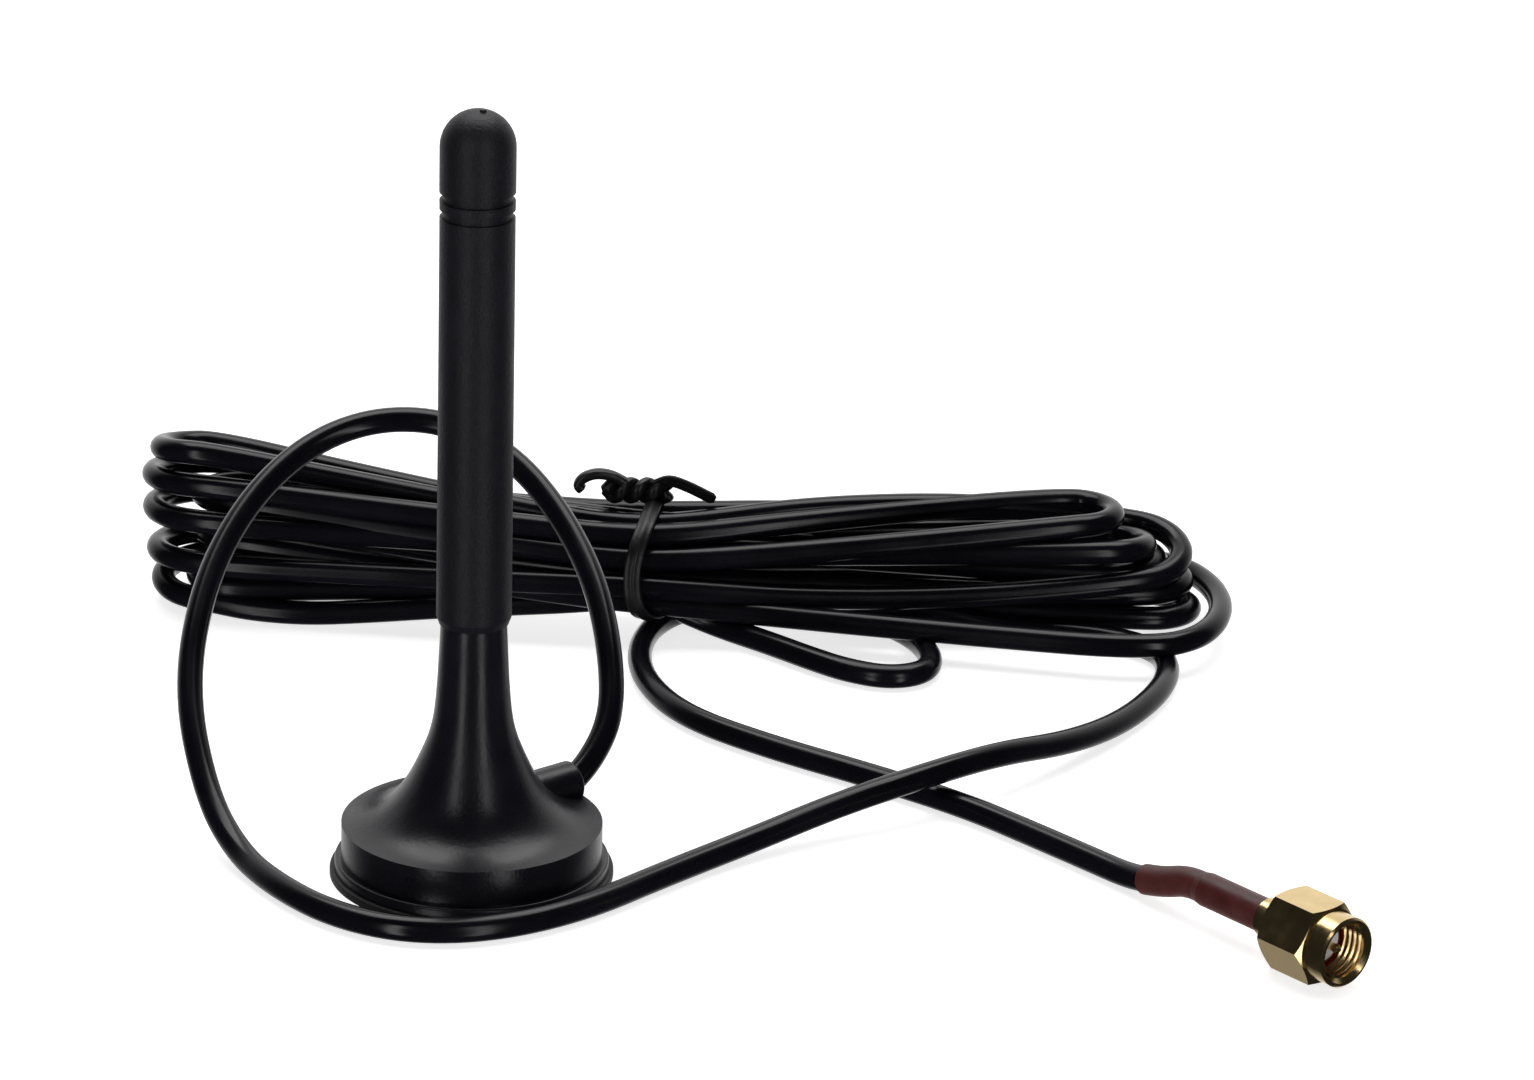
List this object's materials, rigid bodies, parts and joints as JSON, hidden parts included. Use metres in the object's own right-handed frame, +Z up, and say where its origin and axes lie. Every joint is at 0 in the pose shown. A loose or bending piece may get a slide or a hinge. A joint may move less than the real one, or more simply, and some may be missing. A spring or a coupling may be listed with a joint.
{
  "type": "magnetic-foot whip antenna",
  "caption": "Small magnetic-foot omnidirectional whip antenna with bell-shaped base, domed sleeve, coaxial lead folded in a tied hank, and a screw-on coaxial plug.",
  "frame": {"origin": "centre of the underside of the foot", "axes": "+Z up along the whip; +X to the right and +Y to the back, where the hank lies"},
  "size_m": [0.1367, 0.116, 0.0838],
  "materials": {
    "foot_rubber": "matte",
    "cap_plastic": "satin",
    "magnet_ferrite": "matte",
    "steel_plate": "zinc plated",
    "tinned_brass": "tinned",
    "insulation": "satin",
    "brass": "bright",
    "washer_rubber": "satin",
    "sleeve_plastic": "fine matte",
    "cable_jacket": "glossy",
    "tie_plastic": "satin",
    "shrink_red": "satin",
    "gold_plate": "gold plated",
    "gasket_red": "satin",
    "spring_bronze": "bright",
    "ptfe": "satin"
  },
  "bodies": {
    "base": {"foot_pad": "foot_rubber", "retaining_ring": "cap_plastic", "magnet": "magnet_ferrite", "yoke_plate": "steel_plate", "base_cap": "cap_plastic", "cable_crimp": "steel_plate", "ground_tag": "tinned_brass", "braid_pigtail": "tinned_brass", "coax_core": "insulation", "coax_conductor": "tinned_brass", "threaded_stud": "brass", "cable_lead_a": "cable_jacket", "cable_hank": "cable_jacket", "cable_lead_b": "cable_jacket", "twist_tie": "tie_plastic", "heat_shrink": "shrink_red", "crimp_ferrule": "gold_plate", "connector_braid": "tinned_brass", "connector_dielectric": "insulation", "sma_body": "gold_plate", "gasket": "gasket_red", "snap_ring": "spring_bronze", "ptfe_insulator": "ptfe", "centre_pin": "gold_plate"},
    "whip_lift": {"seal_washer": "washer_rubber"},
    "whip": {"whip_ferrule": "brass", "coil_core": "insulation", "helical_radiator": "brass", "radome_sleeve": "sleeve_plastic"},
    "coupling_nut": {"coupling_nut": "gold_plate"}
  },
  "joints": [
    {"name": "whip_rise", "type": "slide", "parent": "base", "child": "whip_lift", "axis": [0, 0, 1], "range_m": [0, 0.004]},
    {"name": "whip_unscrew", "type": "hinge", "parent": "whip_lift", "child": "whip", "pos_m": [0, 0, 0.0282], "axis": [0, 0, 1], "range_deg": [0, 2880]},
    {"name": "nut_turn", "type": "hinge", "parent": "base", "child": "coupling_nut", "pos_m": [0.0905, -0.0242, 0.004], "axis": [0.6561, -0.7547, 0], "continuous": true}
  ],
  "couplings": [
    {"joint": "whip_unscrew", "follows": "whip_rise", "rad_per_m": 12566}
  ]
}
